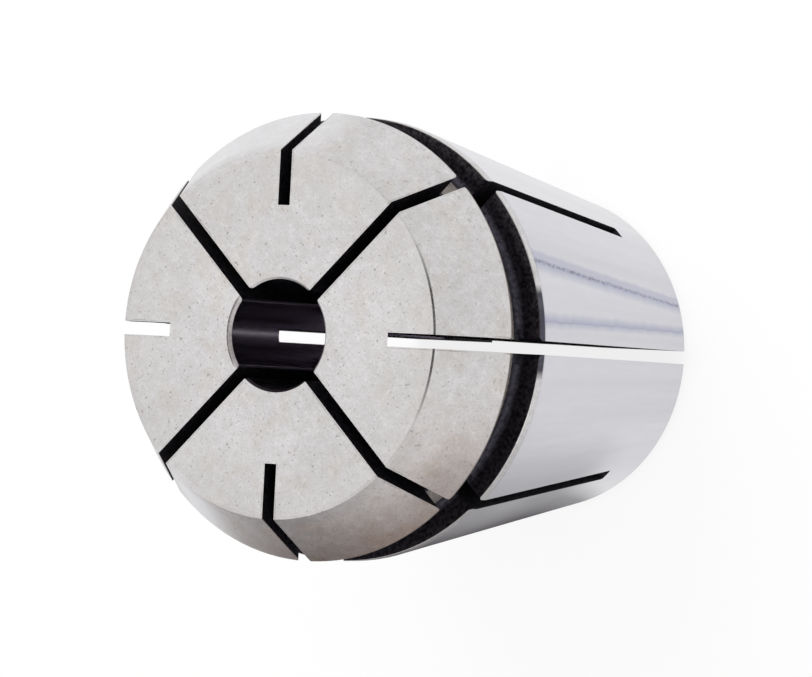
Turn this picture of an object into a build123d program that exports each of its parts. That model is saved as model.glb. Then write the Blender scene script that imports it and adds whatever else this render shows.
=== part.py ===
from build123d import *
from math import radians, sqrt, tan
import os

# Size 32 spring collet for taps, turned from one bar of spring steel and slit by a saw.
# Millimetres. The axis is +Z, with the origin in the middle of the small rear end.
# The front face, which the clamping nut pulls on, is at the top.

# Turned outside
total_length = 40.0
body_dia = 33.0
seat_half_angle = 8.0
nut_half_angle = 30.0
nose_length = 5.5
groove_width = 4.1
groove_depth = 1.9
rim_land = 0.2
rear_land = 1.0
groove_edge_break = 0.1
groove_floor_fillet = 0.4
rear_edge_break = 0.4

# Hole down the middle
bore_dia = 8.1
bore_mouth_break = 0.15
bore_corner_radius = 0.3
bore_depth = 22.0
square_across = 6.2
square_length = 10.0
square_corner_clearance = 0.6
relief_mouth_break = 0.5

# Saw slits
slit_pairs = 4
slit_width = 1.0
slit_corner_radius = 0.4
saw_dia = 40.0
saw_overcut = 2.2
front_slit_stop = 6.5
web_face_dia = 18.8

# Levels and radii that follow
groove_top = total_length - nose_length
groove_bottom = groove_top - groove_width
taper_top = groove_bottom - rear_land
cone_foot = groove_top + rim_land
body_radius = body_dia / 2
floor_radius = body_radius - groove_depth
rear_radius = body_radius - taper_top * tan(radians(seat_half_angle))
face_radius = body_radius - (total_length - cone_foot) * tan(radians(nut_half_angle))
bore_radius = bore_dia / 2
square_top = total_length - bore_depth
square_bottom = square_top - square_length
relief_radius = square_across / sqrt(2) + square_corner_clearance
saw_radius = saw_dia / 2
saw_axis_radius = bore_radius - saw_overcut + saw_radius


def taper_radius(level):
    """Radius of the 8 degree seat at a level above the rear end."""
    return rear_radius + level * tan(radians(seat_half_angle))


def corner(sketch, radius, level):
    """The corner of the half section nearest to a radius and a level."""
    return sketch.vertices().sort_by_distance(Vector(radius, level))[0]


def turned_section():
    """Half section of the solid turning, with its grooves and broken edges."""
    outline = Polyline(
        (0, 0),
        (rear_radius, 0),
        (body_radius, taper_top),
        (body_radius, groove_bottom),
        (floor_radius, groove_bottom),
        (floor_radius, groove_top),
        (body_radius, groove_top),
        (body_radius, cone_foot),
        (face_radius, total_length),
        (0, total_length),
        close=True,
    )
    section = make_face(outline)
    section = fillet(corner(section, floor_radius, groove_bottom), groove_floor_fillet)
    section = fillet(corner(section, floor_radius, groove_top), groove_floor_fillet)
    section = chamfer(corner(section, body_radius, groove_bottom), groove_edge_break)
    return chamfer(corner(section, rear_radius, 0), rear_edge_break)


def bore_section():
    """Round bore with the corners rounded where the front slits run into it."""
    crossing = Circle(bore_radius)
    for turn in (0, 90):
        crossing += Rot(Z=turn) * Rectangle(2 * bore_radius + 4 * bore_corner_radius, slit_width)
    inner_corners = [
        corner for corner in crossing.vertices() if Vector(*corner).length < 1.01 * bore_radius
    ]
    return fillet(inner_corners, bore_corner_radius)


def hole():
    """Round bore from the front, square broached behind it, round relief to the rear end."""
    upwards = (Align.CENTER, Align.CENTER, Align.MIN)
    bore = Pos(Z=square_top) * extrude(bore_section(), bore_depth)
    mouth_level = total_length - bore_mouth_break
    mouth_radius = bore_radius + bore_mouth_break
    bore += Pos(Z=mouth_level) * Cone(bore_radius, mouth_radius, bore_mouth_break, align=upwards)
    square = Pos(Z=square_bottom) * Box(square_across, square_across, square_length, align=upwards)
    relief = Cylinder(relief_radius, square_bottom, align=upwards)
    relief += Cone(relief_radius + relief_mouth_break, relief_radius, relief_mouth_break, align=upwards)
    return bore + square + relief


def slit(saw_level, way_out):
    """Path of the saw blade on the +X side: it stops at a level and leaves over an end."""
    blade = Pos(saw_axis_radius, saw_level) * Circle(saw_radius)
    travel = Rectangle(saw_dia, abs(way_out - saw_level))
    path = blade + Pos(saw_axis_radius, (saw_level + way_out) / 2) * travel
    return extrude(Plane.XZ * path, slit_width / 2, both=True)


def groove_corners():
    """Rounds the corners where a slit on the +X side breaks into both walls of the groove."""
    middle = (groove_bottom + groove_top) / 2
    band = Pos(0, middle) * Rectangle(slit_width + 4 * slit_corner_radius, groove_width)
    crossing = band + Pos(0, middle) * Rectangle(slit_width, groove_width + 4 * slit_corner_radius)
    inner_corners = [
        crossing.vertices().sort_by_distance(Vector(side * slit_width / 2, level))[0]
        for side in (-1, 1)
        for level in (groove_bottom, groove_top)
    ]
    rounded = fillet(inner_corners, slit_corner_radius)
    return extrude(Plane.YZ.offset(floor_radius) * rounded, groove_depth + slit_width)


def saw_reach(radius):
    """How far along the axis the blade cuts past its own axle at a radius."""
    return sqrt(saw_radius**2 - (saw_axis_radius - radius) ** 2)


collet = revolve(Plane.XZ * turned_section(), Axis.Z, 360) - hole()

# The front slits open the nose and stop short of the rear end, which ties the fingers in pairs.
front_saw_level = front_slit_stop + saw_reach(taper_radius(front_slit_stop))
front_slit = slit(front_saw_level, total_length + saw_radius)

# The rear slits open the small end and run out at the front, outside a web near the bore.
rear_saw_level = total_length - saw_reach(web_face_dia / 2)
rear_slit = slit(rear_saw_level, -saw_radius)

half_pitch = 180 / slit_pairs
corners = groove_corners()
for pair in range(slit_pairs):
    turn = 2 * half_pitch * pair
    collet -= Rot(Z=turn) * front_slit
    collet -= Rot(Z=turn + half_pitch) * rear_slit
    for step in (turn, turn + half_pitch):
        collet -= Rot(Z=step) * corners

os.makedirs("parts", exist_ok=True)
export_step(collet, "parts/collet.step")
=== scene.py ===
# %% [markdown]
# # A slotted spring collet in a soft white studio
#
# The collet is one piece of spring steel. Its shape comes whole from the CAD model, so
# Blender's work is the finish: ground cones, a dark groove and slits, fine pits and
# grinding lines. One material does this, because the real thing is one metal, worked in
# different ways on different faces.

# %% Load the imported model
from math import cos, radians, sin, tan

import bpy
from mathutils import Matrix, Vector


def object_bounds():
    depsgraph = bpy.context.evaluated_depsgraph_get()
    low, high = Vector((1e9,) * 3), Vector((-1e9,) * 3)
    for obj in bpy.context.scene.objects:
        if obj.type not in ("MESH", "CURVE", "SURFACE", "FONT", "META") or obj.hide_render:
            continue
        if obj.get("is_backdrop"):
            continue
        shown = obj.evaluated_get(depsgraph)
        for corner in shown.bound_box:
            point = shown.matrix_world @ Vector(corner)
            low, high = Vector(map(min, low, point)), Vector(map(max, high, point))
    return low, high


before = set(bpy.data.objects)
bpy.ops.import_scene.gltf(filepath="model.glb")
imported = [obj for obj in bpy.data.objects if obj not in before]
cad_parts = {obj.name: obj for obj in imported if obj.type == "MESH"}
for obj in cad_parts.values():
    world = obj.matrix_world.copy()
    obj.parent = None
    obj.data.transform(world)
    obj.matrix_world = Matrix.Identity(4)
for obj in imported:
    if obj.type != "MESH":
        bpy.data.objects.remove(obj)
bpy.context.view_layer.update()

MM = 0.001
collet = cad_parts["collet"]

# %% [markdown]
# ## Camera
#
# The view looks down on the front face at a slant, through a long lens from a third of a
# metre away. The camera is turned by nearly a right angle about its own line of sight, so
# the collet's axis runs from left to right across the picture.

# %% Camera
aim = Vector((-0.2080, 0.2146, 21.9889)) * MM
camera_distance = 361.804 * MM
camera_azimuth = radians(44.1057)
camera_elevation = radians(58.7231)
camera_roll = radians(-86.3051)

towards_camera = Vector((
    cos(camera_elevation) * cos(camera_azimuth),
    cos(camera_elevation) * sin(camera_azimuth),
    sin(camera_elevation),
))
camera_data = bpy.data.cameras.new("studio_camera")
camera_data.sensor_width = 36.0
camera_data.lens = 211.647
camera_data.clip_start = 0.01
camera_data.clip_end = 10.0
camera = bpy.data.objects.new("studio_camera", camera_data)
bpy.context.collection.objects.link(camera)
level_view = towards_camera.to_track_quat("Z", "Y").to_matrix()
rolled_view = level_view @ Matrix.Rotation(camera_roll, 3, "Z")
camera_place = Matrix.Translation(aim + camera_distance * towards_camera)
camera.matrix_world = camera_place @ rolled_view.to_4x4()
bpy.context.scene.camera = camera
print("camera at", camera.location)

# %% [markdown]
# ## Where each finish lies
#
# The outside was ground after hardening, so the cones and the front face are bright. The
# groove, the slits and the hole were not: they keep the dark skin of the heat treatment.
# Painting the faces by hand or giving each finish its own material would both work, but the
# shape is turned, so a few sizes say where everything is. A point belongs to the ground skin
# if it lies on the turned envelope: the material works out its distance from the axis and
# compares it with the envelope at its level.

# %% Sizes of the turned envelope
body_radius = 16.5 * MM
seat_slope = tan(radians(8.0))
seat_top = 29.4 * MM
rear_radius = body_radius - seat_top * seat_slope
nut_slope = tan(radians(30.0))
front_level = 40.0 * MM
groove_bottom = 30.4 * MM
groove_top = 34.5 * MM
groove_floor = 14.6 * MM
cone_foot = 34.7 * MM
face_radius = body_radius - (front_level - cone_foot) * nut_slope
bore_radius = 4.05 * MM
mouth_break = 0.15 * MM
half_slit = 0.5 * MM
front_slit_stop = 6.5 * MM
web_radius = 9.4 * MM
print("seat", round(rear_radius / MM, 2), "to", body_radius / MM, "mm")
print("face radius", round(face_radius / MM, 2), "mm")


# %% Helpers that build a node tree
def new_material(name):
    """An empty material with its output node."""
    material = bpy.data.materials.new(name)
    material.use_nodes = True
    tree = material.node_tree
    tree.nodes.clear()
    output = tree.nodes.new("ShaderNodeOutputMaterial")
    return material, tree, output


def feed(tree, socket, value):
    """Join a socket to another, or set it to a plain number or colour."""
    if isinstance(value, bpy.types.NodeSocket):
        tree.links.new(value, socket)
    else:
        socket.default_value = value


def calc(tree, operation, *inputs, clamp=False):
    """A Math node's result."""
    node = tree.nodes.new("ShaderNodeMath")
    node.operation = operation
    node.use_clamp = clamp
    for socket, value in zip(node.inputs, inputs):
        feed(tree, socket, value)
    return node.outputs[0]


def times(tree, first, *others):
    """The product of two or more values."""
    for other in others:
        first = calc(tree, "MULTIPLY", first, other)
    return first


# %% A new material and its coordinates
steel, tree, output = new_material("spring_steel")
texture = tree.nodes.new("ShaderNodeTexCoord")
place = texture.outputs["Object"]
split = tree.nodes.new("ShaderNodeSeparateXYZ")
tree.links.new(place, split.inputs[0])
x, y, z = split.outputs
radius = calc(tree, "SQRT", calc(tree, "ADD", times(tree, x, x), times(tree, y, y)))
turn = calc(tree, "DEGREES", calc(tree, "ARCTAN2", y, x))
print("material", steel.name, "reads Object coordinates")

# %% [markdown]
# ## Finding the slits
#
# The front slits lie on the X and Y axes and the rear slits on the diagonals, so the
# distance from the middle of the nearest slit is the smaller of two coordinates, straight
# or turned by 45 degrees. Their walls must stay dark, although near the outside they lie
# almost on the envelope.

# %% How far a point is from the middle of a slit
cos_45 = cos(radians(45.0))
across = calc(tree, "MINIMUM", calc(tree, "ABSOLUTE", x), calc(tree, "ABSOLUTE", y))
rising = times(tree, calc(tree, "ABSOLUTE", calc(tree, "SUBTRACT", x, y)), cos_45)
falling = times(tree, calc(tree, "ABSOLUTE", calc(tree, "ADD", x, y)), cos_45)
diagonal = calc(tree, "MINIMUM", rising, falling)
print("slits", 2 * half_slit / MM, "mm wide")


# %% Helpers that turn a value into a mask
def span(tree, value, low, high, low_out=0.0, high_out=1.0):
    """Value carried from one range to another and held at its ends."""
    node = tree.nodes.new("ShaderNodeMapRange")
    node.clamp = True
    feed(tree, node.inputs["Value"], value)
    limits = (("From Min", low), ("From Max", high), ("To Min", low_out), ("To Max", high_out))
    for name, number in limits:
        node.inputs[name].default_value = number
    return node.outputs[0]


def between(tree, value, low, high, blur):
    """1 between two limits, 0 outside, with a short slope at each."""
    rise = span(tree, value, low - blur, low + blur)
    fall = span(tree, value, high - blur, high + blur, 1.0, 0.0)
    return calc(tree, "MULTIPLY", rise, fall)


def angle_from(tree, side):
    """Degrees round the axis between a point and one side of the collet."""
    return calc(tree, "ABSOLUTE", calc(tree, "SUBTRACT", turn, side))


# %% [markdown]
# ## Masks
#
# Each mask is 1 where a finish lies and 0 elsewhere. The cones of the mesh are made of flat
# triangles, which dip up to 0.045 mm under the true cone, so the skin is taken that deep.

# %% Ground skin
skin_depth = 0.045 * MM
seat = calc(tree, "MULTIPLY_ADD", z, seat_slope, rear_radius)
nose = calc(tree, "MULTIPLY_ADD", z, -nut_slope, body_radius + cone_foot * nut_slope)
envelope = calc(tree, "MINIMUM", calc(tree, "MINIMUM", seat, nose), body_radius)
depth = calc(tree, "SUBTRACT", envelope, radius)
on_cones = span(tree, depth, skin_depth, 1.3 * skin_depth, 1.0, 0.0)
past_stop = span(tree, z, front_slit_stop - 0.01 * MM, front_slit_stop, half_slit, 0.0)
front_cut = calc(tree, "ADD", across, past_stop)
nearest_cut = calc(tree, "MINIMUM", front_cut, diagonal)
in_slit = span(tree, nearest_cut, half_slit - 0.02 * MM, half_slit - 0.01 * MM, 1.0, 0.0)
on_cones = times(tree, on_cones, calc(tree, "SUBTRACT", 1.0, in_slit))
on_front = span(tree, z, front_level - 0.03 * MM, front_level - 0.01 * MM)
on_rear = span(tree, z, 0.01 * MM, 0.03 * MM, 1.0, 0.0)
mouth_level = span(tree, z, front_level - 1.2 * mouth_break, front_level - 1.1 * mouth_break)
mouth_inside = span(
    tree, radius, bore_radius + 1.1 * mouth_break, bore_radius + 1.2 * mouth_break, 1.0, 0.0
)
near_mouth = times(tree, mouth_level, mouth_inside)
ground_ends = calc(tree, "MAXIMUM", on_rear, near_mouth)
ground = calc(tree, "MAXIMUM", calc(tree, "MAXIMUM", on_cones, on_front), ground_ends)
print("ground skin", round(skin_depth / MM, 3), "mm deep")

# %% Nose, land, bore and groove
on_nose = span(tree, z, groove_top - 0.1 * MM, groove_top)
on_land = between(tree, z, seat_top + 0.25 * MM, groove_bottom, 0.02 * MM)
in_bore = span(tree, radius, bore_radius + 0.05 * MM, bore_radius + 0.08 * MM, 1.0, 0.0)
groove_levels = between(tree, z, groove_bottom - 0.1 * MM, groove_top + 0.1 * MM, 0.01 * MM)
groove_depths = between(tree, radius, groove_floor - 0.1 * MM, groove_floor + 0.5 * MM, 0.10 * MM)
in_groove = times(tree, groove_levels, groove_depths)
floor_levels = between(tree, z, groove_bottom + 0.55 * MM, groove_top - 0.4 * MM, 0.06 * MM)
on_floor = times(tree, in_groove, floor_levels)
print("groove", round((groove_top - groove_bottom) / MM, 2), "mm wide")


# %% Helpers for colours and noise
def blend_colour(tree, factor, first, second, mode="MIX"):
    """A colour mixed from two by a factor."""
    node = tree.nodes.new("ShaderNodeMix")
    node.data_type = "RGBA"
    node.blend_type = mode
    feed(tree, node.inputs[0], factor)
    feed(tree, node.inputs[6], first)
    feed(tree, node.inputs[7], second)
    return node.outputs[2]


def noise(tree, vector, scale, detail=4.0, roughness=0.55):
    """Noise value about 0.5, with the scale in cells per metre."""
    node = tree.nodes.new("ShaderNodeTexNoise")
    feed(tree, node.inputs["Vector"], vector)
    node.inputs["Scale"].default_value = scale
    node.inputs["Detail"].default_value = detail
    node.inputs["Roughness"].default_value = roughness
    return node.outputs[0]


def joined(tree, x, y, z=0.0):
    """A vector made of three numbers."""
    node = tree.nodes.new("ShaderNodeCombineXYZ")
    for socket, value in zip(node.inputs, (x, y, z)):
        feed(tree, socket, value)
    return node.outputs[0]


# %% [markdown]
# ## Ground face and nut cone
#
# A ground face is an even pale grey with a fine grit and soft warm clouds where the
# coolant has dried. A scanned picture would show this too, but it would stretch on the
# cones. Noises of different sizes lie evenly on every face. Each reads the coordinates in
# another order, so that no two have their patches in the same places.

# %% Clouds and grit
clouds = noise(tree, place, 190.0, 3.0)
warm = noise(tree, joined(tree, y, z, x), 420.0, 4.0, 0.6)
mottle = noise(tree, joined(tree, z, y, x), 1300.0, 3.0, 0.6)
grit = noise(tree, place, 5200.0, 4.0, 0.75)
face_colour = blend_colour(
    tree, span(tree, clouds, 0.35, 0.65), (0.593, 0.583, 0.586, 1), (0.662, 0.651, 0.655, 1)
)
face_patches = (
    (warm, 0.52, 0.72, 0.0, 0.50, (0.565, 0.512, 0.455, 1)),
    (mottle, 0.30, 0.50, 0.32, 0.0, (0.50, 0.465, 0.445, 1)),
    (mottle, 0.52, 0.72, 0.0, 0.36, (0.80, 0.79, 0.785, 1)),
    (grit, 0.34, 0.60, 0.36, 0.0, (0.40, 0.375, 0.36, 1)),
    (grit, 0.60, 0.72, 0.0, 0.5, (0.84, 0.83, 0.82, 1)),
)
for pattern, low, high, low_share, high_share, tint in face_patches:
    share = span(tree, pattern, low, high, low_share, high_share)
    face_colour = blend_colour(tree, share, face_colour, tint)
print(len(face_patches), "kinds of patch on the ground face")

# %% [markdown]
# ## Specks and pits
#
# The blank had small pits that grinding didn't take away. Only the peaks of a noise are
# kept, which gives separate dots. The nut cone has about half as many as the face.

# %% Specks and pits
specks = noise(tree, joined(tree, z, x, y), 4300.0, 2.0, 0.6)
pits = noise(tree, joined(tree, y, x, z), 1500.0, 2.0, 0.5)
cone_share = 0.52
fewer = span(tree, z, front_level - 0.10 * MM, front_level - 0.05 * MM, cone_share, 1.0)
speck_strength = times(tree, span(tree, specks, 0.640, 0.71, 0.0, 0.85), fewer)
pit_strength = times(tree, span(tree, pits, 0.70, 0.74, 0.0, 0.60), fewer)
face_colour = blend_colour(tree, speck_strength, face_colour, (0.22, 0.185, 0.16, 1))
face_colour = blend_colour(tree, pit_strength, face_colour, (0.20, 0.17, 0.15, 1))
print("the cone keeps", cone_share, "of the face's specks")

# %% [markdown]
# ## Darker edge of the face, painted highlights and painted shade on the cone
#
# The face is darker towards its edge, two parts of the cone carry a painted highlight, and
# one side of the cone has a brownish painted shade that is darkest at its foot. Each is a
# mask by angle and by radius. The shade multiplies the colour, so the grit still shows
# through it.

# %% Darker edge of the face, painted highlights on the cone
on_cone = span(tree, radius, face_radius - 0.5 * MM, face_radius + 0.8 * MM)
# The face is blended to a darker grey from 7.5 mm out towards its edge.
greyer = span(tree, radius, 7.5 * MM, 13.0 * MM, 0.0, 0.22)
greyer = times(tree, greyer, calc(tree, "SUBTRACT", 1.0, on_cone))
face_colour = blend_colour(tree, greyer, face_colour, (0.50, 0.48, 0.47, 1))
# Painted highlights: two parts of the cone are painted a pale bluish white, which also hides their
# specks.
wide_highlit = times(tree, between(tree, turn, 128.0, 182.0, 6.0), 0.6)
narrow_highlit = between(tree, turn, -86.0, -68.0, 5.0)
highlit = times(tree, calc(tree, "MAXIMUM", wide_highlit, narrow_highlit), on_cone, 0.85)
face_colour = blend_colour(tree, highlit, face_colour, (0.80, 0.80, 0.825, 1))
print("the face grows duller from 7.5 mm out, and two parts of the cone are clean")

# %% Painted shade on the cone
# A brownish painted shade on one side of the cone; it multiplies the colour.
shade_side = -22.0
off_shade = angle_from(tree, shade_side)
painted_shade = times(tree, span(tree, off_shade, 8.0, 55.0, 1.0, 0.0), on_cone)
painted_shade = times(tree, painted_shade, span(tree, warm, 0.35, 0.65, 0.35, 0.85))
face_colour = blend_colour(tree, painted_shade, face_colour, (0.97, 0.87, 0.81, 1), "MULTIPLY")
# More painted shade low on the cone, darkest at its foot.
low_on_cone = span(tree, z, 35.5 * MM, 38.6 * MM, 1.0, 0.0)
foot_shade = times(tree, span(tree, off_shade, 30.0, 52.0, 0.75, 0.0), low_on_cone)
foot_shade = times(tree, foot_shade, span(tree, warm, 0.35, 0.65, 0.8, 1.0))
face_colour = blend_colour(tree, foot_shade, face_colour, (0.57, 0.49, 0.46, 1), "MULTIPLY")
print("stain about", shade_side, "degrees")

# %% [markdown]
# ## Dark lines at the edges
#
# A dark broken ring lies just inside the edge where the face meets the cone, strongest on
# one side. The saw left a small burr along each slit, which shows as a broken dark line. Both
# are thin rings or strips just inside an edge, broken up by a noise.

# %% Dark line at the cone's top edge
edge_side = 49.0
off_edge = angle_from(tree, edge_side)
edge_ring = between(tree, radius, face_radius - 0.23 * MM, face_radius - 0.03 * MM, 0.025 * MM)
edge_line = times(tree, edge_ring, span(tree, off_edge, 12.0, 30.0, 0.92, 0.18))
edge_line = times(tree, edge_line, span(tree, off_edge, 34.0, 70.0, 1.0, 0.3))
edge_line = times(tree, edge_line, span(tree, grit, 0.35, 0.55, 0.75, 1.0))
face_colour = blend_colour(tree, edge_line, face_colour, (0.014, 0.010, 0.012, 1))
print("edge line strongest at", edge_side, "degrees")

# %% Burrs beside the slits
in_web = span(tree, radius, web_radius - 0.1 * MM, web_radius, 4 * half_slit, 0.0)
beside = calc(tree, "MINIMUM", across, calc(tree, "ADD", diagonal, in_web))
burr = between(tree, beside, half_slit + 0.06 * MM, half_slit + 0.14 * MM, 0.02 * MM)
burr = times(tree, burr, span(tree, noise(tree, place, 500.0, 3.0), 0.45, 0.62, 0.0, 0.45))
face_colour = blend_colour(tree, burr, face_colour, (0.20, 0.165, 0.145, 1))
print("burrs end at the web's edge,", round(web_radius / MM, 1), "mm from the axis")

# %% [markdown]
# ## Mouth of the bore
#
# The mouth was deburred by hand, so it is uneven: one side has a scraped ring with a dark
# line in it. On another side the chamfer has a painted shade, nearly black.

# %% Scraped ring at the mouth, and painted shade on the chamfer
scraped_side = between(tree, turn, -172.0, -102.0, 6.0)
scraped = span(tree, radius, bore_radius + 0.30 * MM, bore_radius + 0.36 * MM, 1.0, 0.0)
scraped = times(tree, scraped, scraped_side, span(tree, grit, 0.35, 0.60, 0.95, 0.70))
face_colour = blend_colour(tree, scraped, face_colour, (0.24, 0.215, 0.215, 1))
ring = between(tree, radius, bore_radius + 0.25 * MM, bore_radius + 0.34 * MM, 0.025 * MM)
ring = times(tree, ring, scraped_side, span(tree, grit, 0.35, 0.60, 0.95, 0.55))
face_colour = blend_colour(tree, ring, face_colour, (0.05, 0.042, 0.046, 1))
# Painted shade: the chamfer is painted nearly black on one side.
shaded_side = -48.0
shaded = times(tree, near_mouth, span(tree, angle_from(tree, shaded_side), 38.0, 58.0, 1.0, 0.0))
face_colour = blend_colour(tree, shaded, face_colour, (0.018, 0.014, 0.017, 1))
print("chamfer dull about", shaded_side, "degrees")

# %% [markdown]
# ## Ground seat
#
# The 8 degree seat is ground finer and wiped along its length, so its marks run from end
# to end. Noise on the angle alone gives lines that are straight however long the seat is.

# %% Seat
squeezed_turn = times(tree, turn, 0.01)
fine_lines = noise(tree, joined(tree, squeezed_turn, times(tree, z, 3.0)), 60.0, 5.0, 0.65)
broad_lines = noise(tree, joined(tree, squeezed_turn, times(tree, z, 0.8)), 9.0, 2.0, 0.5)
seat_colour = blend_colour(
    tree, span(tree, broad_lines, 0.3, 0.7), (0.575, 0.568, 0.606, 1), (0.658, 0.652, 0.688, 1)
)
fine_share = span(tree, fine_lines, 0.35, 0.65, 0.22, 0.0)
seat_colour = blend_colour(tree, fine_share, seat_colour, (0.50, 0.49, 0.55, 1))
wander = span(tree, noise(tree, joined(tree, z, 0.0), 700.0, 3.0), 0.3, 0.7, -0.35, 0.35)
turned = calc(tree, "ADD", turn, wander)
print("marks along the seat wander by 0.35 degrees")

# %% [markdown]
# ## Painted reflections on the seat
#
# A few blue-violet lines along the seat are painted reflections. Each leans a little, rises
# sharply on one side and trails off on the other. The strongest has a speckled dark core.


# %% Painted reflection lines
def reflection_line(colour, at, lean, lead, trail, strength, tint, shelf=0.0):
    """A painted reflection line that leans by some degrees a metre and may trail a paler shelf."""
    off = calc(tree, "SUBTRACT", turned, calc(tree, "MULTIPLY_ADD", z, lean, at))
    rise = span(tree, off, -lead, 0.0)
    fall = span(tree, off, 0.0, trail, 1.0, shelf)
    shelf_end = span(tree, off, 4.5 * trail, 7.0 * trail, 1.0, 0.0)
    shape = times(tree, times(tree, rise, fall), times(tree, shelf_end, strength))
    return blend_colour(tree, shape, colour, tint)


violet = (0.262, 0.274, 0.425, 1)
strong_at, strong_lean = 63.8, 135.0
# Painted reflections: angle, lean, lead, trail, strength and shelf of each dark line.
reflection_lines = (
    (54.3, -80.0, 2.2, 2.4, 0.66, 0.0),
    (strong_at, strong_lean, 3.6, 0.5, 0.76, 0.60),
    (-118.0, 60.0, 2.5, 3.0, 0.50, 0.0),
    (157.0, -50.0, 3.0, 2.5, 0.40, 0.0),
)
for at, lean, lead, trail, strength, shelf in reflection_lines:
    seat_colour = reflection_line(seat_colour, at, lean, lead, trail, strength, violet, shelf)
# The speckled dark core of the strongest painted reflection.
core = span(tree, noise(tree, place, 4600.0, 2.0, 0.6), 0.46, 0.56, 0.10, 1.0)
core_strength = times(tree, core, span(tree, z, 4.0 * MM, 24.0 * MM, 0.6, 1.0))
core_tint = (0.07, 0.072, 0.12, 1)
seat_colour = reflection_line(seat_colour, strong_at, strong_lean, 0.95, 0.95, core_strength, core_tint)
# A thin painted reflection beside the first line.
thin_strength = span(tree, fine_lines, 0.35, 0.6, 0.10, 0.35)
thin_tint = (0.16, 0.17, 0.24, 1)
seat_colour = reflection_line(seat_colour, 54.0, -80.0, 0.30, 0.30, thin_strength, thin_tint)
print(len(reflection_lines), "tinted lines along the seat")

# %% [markdown]
# ## Land behind the groove
#
# The narrow land was only turned, so it has fine rings round the axis, smears, and a patch
# of dark oxide. Noise that is squeezed along the angle and stretched along the axis draws
# the rings.

# %% Land
ring_place = joined(tree, times(tree, turn, 0.0006), times(tree, z, 14.0))
rings = noise(tree, ring_place, 1100.0, 3.0, 0.6)
smear_place = joined(tree, times(tree, turn, 0.0025), times(tree, z, 2.0))
smears = noise(tree, smear_place, 160.0, 4.0, 0.6)
land_colour = blend_colour(
    tree, span(tree, smears, 0.35, 0.65), (0.70, 0.69, 0.695, 1), (0.59, 0.575, 0.57, 1)
)
ring_share = span(tree, rings, 0.50, 0.62, 0.0, 0.45)
land_colour = blend_colour(tree, ring_share, land_colour, (0.30, 0.27, 0.24, 1))
oxide_from, oxide_to = 38.0, 60.0
oxide = between(tree, turned, oxide_from, oxide_to, 1.2)
oxide = times(tree, oxide, span(tree, smears, 0.30, 0.50, 0.93, 1.0))
land_colour = blend_colour(tree, oxide, land_colour, (0.045, 0.044, 0.066, 1))
seat_colour = blend_colour(tree, on_land, seat_colour, land_colour)
land_edge = between(tree, z, seat_top + 0.15 * MM, seat_top + 0.30 * MM, 0.04 * MM)
land_edge = times(tree, land_edge, span(tree, smears, 0.35, 0.65, 0.1, 0.45))
seat_colour = blend_colour(tree, land_edge, seat_colour, (0.36, 0.34, 0.36, 1))
print("oxide on the land from", oxide_from, "to", oxide_to, "degrees")

# %% [markdown]
# ## Dark skin
#
# The groove, the slits and the hole keep a nearly black skin with a purple cast. The hole
# is smooth, so it glints along its length. The groove's floor was touched by the tool last
# and is paler, and the edge of its rear wall is worn on one side.

# %% Groove, slits and hole
skin_noise = noise(tree, place, 3300.0, 4.0, 0.65)
rough_patches = span(tree, skin_noise, 0.36, 0.64)
skin_colours = (
    ((0.005, 0.004, 0.006, 1), (0.034, 0.029, 0.037, 1)),
    ((0.036, 0.034, 0.044, 1), (0.085, 0.081, 0.100, 1)),
    ((0.26, 0.235, 0.22, 1), (0.46, 0.42, 0.39, 1)),
)
dark_colour, corner_colour, floor_colour = [
    blend_colour(tree, rough_patches, dark, pale) for dark, pale in skin_colours
]
dark_colour = blend_colour(tree, in_groove, dark_colour, corner_colour)
dark_colour = blend_colour(tree, on_floor, dark_colour, floor_colour)
print(len(skin_colours), "dark skins: slits, groove corners, groove floor")

# %% Worn edge of the groove, and the hole
worn_side = 95.0
on_wall = between(tree, z, groove_bottom - 0.05 * MM, groove_bottom + 0.05 * MM, 0.01 * MM)
worn_edge = times(tree, on_wall, span(tree, radius, 15.7 * MM, 16.4 * MM))
worn_edge = times(tree, worn_edge, span(tree, skin_noise, 0.42, 0.66, 0.08, 0.55))
worn_share = span(tree, angle_from(tree, worn_side), 25.0, 70.0, 1.25, 0.25)
worn_edge = times(tree, worn_edge, worn_share)
dark_colour = blend_colour(tree, worn_edge, dark_colour, (0.100, 0.090, 0.095, 1))
dark_colour = blend_colour(tree, in_bore, dark_colour, (0.330, 0.290, 0.350, 1))
print("groove edge worn about", worn_side, "degrees")

# %% [markdown]
# ## Rims of the groove
#
# The small rim under the nut cone has a painted shade, strongest on one side, and the broken
# edge behind the groove is the last of the dark skin that shows from outside. Both are
# blended into the bright colours.

# %% Painted shade on the rim of the cone, and edge of the groove
# Painted shade on the rim under the cone, strongest near the side of the edge line.
rim = span(tree, z, cone_foot - 0.10 * MM, cone_foot - 0.06 * MM, 1.0, 0.0)
rim = times(tree, rim, span(tree, off_edge, 25.0, 85.0, 0.85, 0.15))
face_colour = blend_colour(tree, rim, face_colour, (0.16, 0.125, 0.105, 1))
on_break = between(tree, z, groove_bottom - 0.11 * MM, groove_bottom + 0.03 * MM, 0.01 * MM)
seat_colour = blend_colour(
    tree, times(tree, on_break, 0.45), seat_colour, (0.10, 0.085, 0.075, 1)
)
print("rim under the cone below", round((cone_foot - 0.06 * MM) / MM, 2), "mm")

# %% [markdown]
# ## Spring steel
#
# The finishes are joined by their masks and fed to one metal shader. Where the skin is
# ground the roughness is low on the seat and higher on the face, and the hole is smooth. A
# slight bump from the grit breaks up the light on the face and in the dark parts, and the
# finely ground seat has none.


# %% Shader
def blend_value(tree, factor, first, second):
    """A number mixed from two by a factor."""
    node = tree.nodes.new("ShaderNodeMix")
    feed(tree, node.inputs[0], factor)
    feed(tree, node.inputs[2], first)
    feed(tree, node.inputs[3], second)
    return node.outputs[0]


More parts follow.
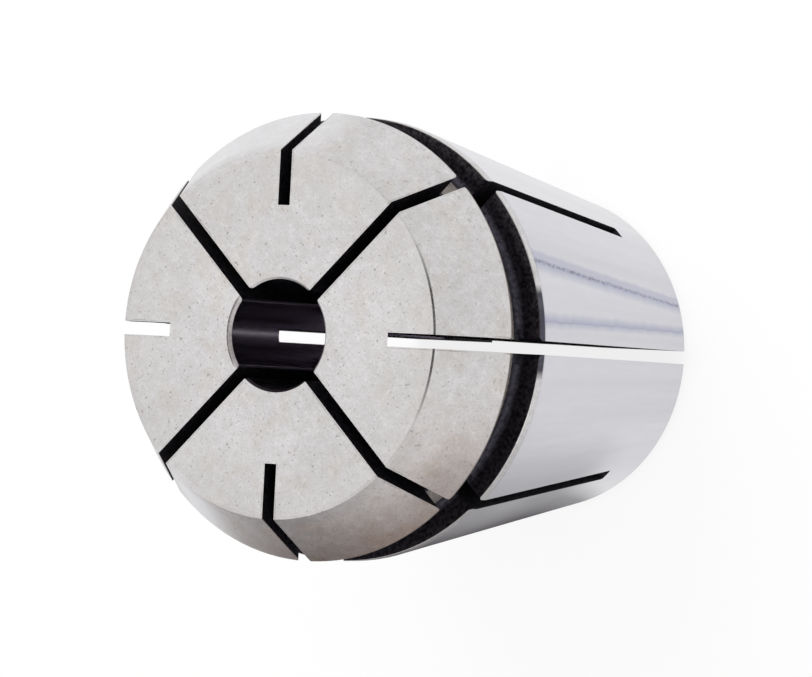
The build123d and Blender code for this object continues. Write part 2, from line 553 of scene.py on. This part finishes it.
bright_colour = blend_colour(tree, on_nose, seat_colour, face_colour)
colour = blend_colour(tree, ground, dark_colour, bright_colour)
seat_roughness = blend_value(tree, on_land, 0.20, 0.38)
face_roughness = span(tree, grit, 0.3, 0.7, 0.38, 0.50)
bright_roughness = blend_value(tree, on_nose, seat_roughness, face_roughness)
dark_roughness = blend_value(tree, in_bore, 0.70, 0.20)
roughness = blend_value(tree, ground, dark_roughness, bright_roughness)

bump = tree.nodes.new("ShaderNodeBump")
bump.inputs["Strength"].default_value = 0.20
bump.inputs["Distance"].default_value = 0.015 * MM
gritty = calc(tree, "MAXIMUM", on_nose, calc(tree, "SUBTRACT", 1.0, ground))
feed(tree, bump.inputs["Height"], times(tree, grit, gritty))

shader = tree.nodes.new("ShaderNodeBsdfPrincipled")
feed(tree, shader.inputs["Base Color"], colour)
shader.inputs["Metallic"].default_value = 1.0
feed(tree, shader.inputs["Roughness"], roughness)
feed(tree, shader.inputs["Normal"], bump.outputs[0])
tree.links.new(shader.outputs[0], output.inputs["Surface"])
for slot in collet.material_slots:
    slot.material = steel
print("material", steel.name, "with", len(tree.nodes), "nodes on", len(collet.material_slots), "slot")

# %% [markdown]
# ## Floor
#
# Polished metal shows what stands round it, so a white floor gives a pale, even metal. It
# glows for the camera and for what metal reflects, and elsewhere it is plain matt white,
# so it keeps the collet's shadow.


# %% Floor
def seen_rays(tree):
    """1 for rays that show the room itself: from the camera, off metal or through glass."""
    paths = tree.nodes.new("ShaderNodeLightPath")
    camera_or_glass = calc(
        tree, "MAXIMUM", paths.outputs["Is Camera Ray"], paths.outputs["Is Transmission Ray"]
    )
    return calc(tree, "MAXIMUM", camera_or_glass, paths.outputs["Is Glossy Ray"])


bpy.ops.object.select_all(action="DESELECT")
bpy.ops.mesh.primitive_plane_add(size=4.0, location=(0, 0, 0))
floor = bpy.context.object
floor.name = "studio_floor"
floor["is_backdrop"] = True
floor_material, tree, output = new_material("studio_floor_white")
glow_share = times(tree, seen_rays(tree), 0.85)
matt = tree.nodes.new("ShaderNodeBsdfDiffuse")
matt.inputs["Color"].default_value = (0.88, 0.88, 0.88, 1)
glow = tree.nodes.new("ShaderNodeEmission")
glow.inputs["Color"].default_value = (1, 1, 1, 1)
glow.inputs["Strength"].default_value = 1.0
mixed = tree.nodes.new("ShaderNodeMixShader")
feed(tree, mixed.inputs[0], glow_share)
tree.links.new(matt.outputs[0], mixed.inputs[1])
tree.links.new(glow.outputs[0], mixed.inputs[2])
tree.links.new(mixed.outputs[0], output.inputs["Surface"])
floor.data.materials.append(floor_material)
print("floor", floor.dimensions[0], "m across")

# %% [markdown]
# ## Graded card
#
# In a room that is white all round, the cones have no dark side. A grey card on the floor
# gives them one. Only reflections see it, so it leaves the floor white, but the metal then
# shows a darkness that has no visible cause: from some sides it is a band on the seat. Its
# edges fade by angle and by distance from the collet, so that the shade on the metal
# is soft.

# %% Graded card
bpy.ops.object.select_all(action="DESELECT")
bpy.ops.mesh.primitive_plane_add(size=0.6, location=(0, 0, 0.2 * MM))
card = bpy.context.object
card.name = "graded_card"
card.visible_camera = False
card.visible_diffuse = False
card.visible_shadow = False
card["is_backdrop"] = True
card_material, tree, output = new_material("graded_card_grey")
spot = tree.nodes.new("ShaderNodeTexCoord")
split = tree.nodes.new("ShaderNodeSeparateXYZ")
tree.links.new(spot.outputs["Object"], split.inputs[0])
card_x, card_y = split.outputs[0], split.outputs[1]
card_turn = calc(tree, "DEGREES", calc(tree, "ARCTAN2", card_y, card_x))
x_squared = calc(tree, "POWER", card_x, 2.0)
y_squared = calc(tree, "POWER", card_y, 2.0)
card_reach = calc(tree, "SQRT", calc(tree, "ADD", x_squared, y_squared))
print("card", card.dimensions[0], "m across")

# %% Fades of the card
first_turn = -68.0
card_end = span(tree, card_reach, 25.0 * MM, 90.0 * MM, 12.0, 60.0)
turn_left = calc(tree, "SUBTRACT", card_end, card_turn)
turn_whole = calc(tree, "ADD", card_end, -first_turn)
gentle = calc(tree, "DIVIDE", turn_left, turn_whole, clamp=True)
near_collet = span(tree, card_reach, 15.5 * MM, 19.5 * MM, 1.35, 1.0)
gentle = calc(tree, "MULTIPLY", gentle, near_collet, clamp=True)
steep = span(tree, card_turn, -106.0, -72.0)
foot = span(tree, card_turn, -27.0, -15.0, 1.0, 0.0)
inner = calc(tree, "MAXIMUM", foot, span(tree, card_reach, 14.4 * MM, 16.2 * MM))
outer = span(tree, card_reach, 220.0 * MM, 290.0 * MM, 1.0, 0.0)
cover = times(tree, times(tree, gentle, steep), times(tree, inner, outer))
grey = tree.nodes.new("ShaderNodeEmission")
grey.inputs["Color"].default_value = (0.102, 0.094, 0.101, 1)
clear = tree.nodes.new("ShaderNodeBsdfTransparent")
mixed = tree.nodes.new("ShaderNodeMixShader")
feed(tree, mixed.inputs[0], cover)
tree.links.new(clear.outputs[0], mixed.inputs[1])
tree.links.new(grey.outputs[0], mixed.inputs[2])
tree.links.new(mixed.outputs[0], output.inputs["Surface"])
card.data.materials.append(card_material)
print("card graded by", len(tree.nodes), "nodes")

# %% [markdown]
# ## World
#
# The world is white for the camera and for what metal reflects, as the floor is. For the
# soft light that falls on the floor, one side of the room is a little darker, which gives
# the shadow a direction.

# %% World
bright_side = Vector((-0.73, 0.68, 0.10)).normalized()
world = bpy.data.worlds.new("studio_world")
bpy.context.scene.world = world
world.use_nodes = True
tree = world.node_tree
tree.nodes.clear()
seen = seen_rays(tree)
way = tree.nodes.new("ShaderNodeTexCoord")
facing = tree.nodes.new("ShaderNodeVectorMath")
facing.operation = "DOT_PRODUCT"
tree.links.new(way.outputs["Generated"], facing.inputs[0])
facing.inputs[1].default_value = bright_side
room = span(tree, facing.outputs["Value"], -0.9, 0.4, 0.55, 1.0)
background = tree.nodes.new("ShaderNodeBackground")
background.inputs["Color"].default_value = (1, 1, 1, 1)
feed(tree, background.inputs["Strength"], blend_value(tree, seen, room, 1.0))
world_output = tree.nodes.new("ShaderNodeOutputWorld")
tree.links.new(background.outputs[0], world_output.inputs["Surface"])
print("bright side of the room", [round(part, 2) for part in bright_side])

# %% [markdown]
# ## Lamps
#
# Two square lamps add the soft lights that show on the cones: a larger key lamp and a
# smaller, weaker one on the other side. Area lamps are used because their edges are soft
# in the metal.


# %% Lamps
def lamp(name, direction, distance, size, power):
    """A square soft lamp that points at the middle of the collet."""
    data = bpy.data.lights.new(name, "AREA")
    data.shape = "SQUARE"
    data.size = size
    data.energy = power
    lamp_object = bpy.data.objects.new(name, data)
    bpy.context.collection.objects.link(lamp_object)
    way = Vector(direction).normalized()
    pointing = way.to_track_quat("Z", "Y").to_matrix().to_4x4()
    lamp_object.matrix_world = Matrix.Translation(aim + distance * way) @ pointing


lamp("key_lamp", (-0.80, 0.45, 0.85), distance=0.45, size=0.3, power=0.95)
lamp("fill_lamp", (0.95, 0.2, 0.6), distance=0.45, size=0.2, power=0.3)

# %% [markdown]
# ## Colour handling and size
#
# Colours are shown as they are written, and the collet's size is printed. Nothing was
# added to the collet.

# %% Colour handling and size
bpy.context.scene.view_settings.view_transform = "Standard"
low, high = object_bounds()
print("size", [round((top - bottom) / MM, 2) for bottom, top in zip(low, high)], "mm")
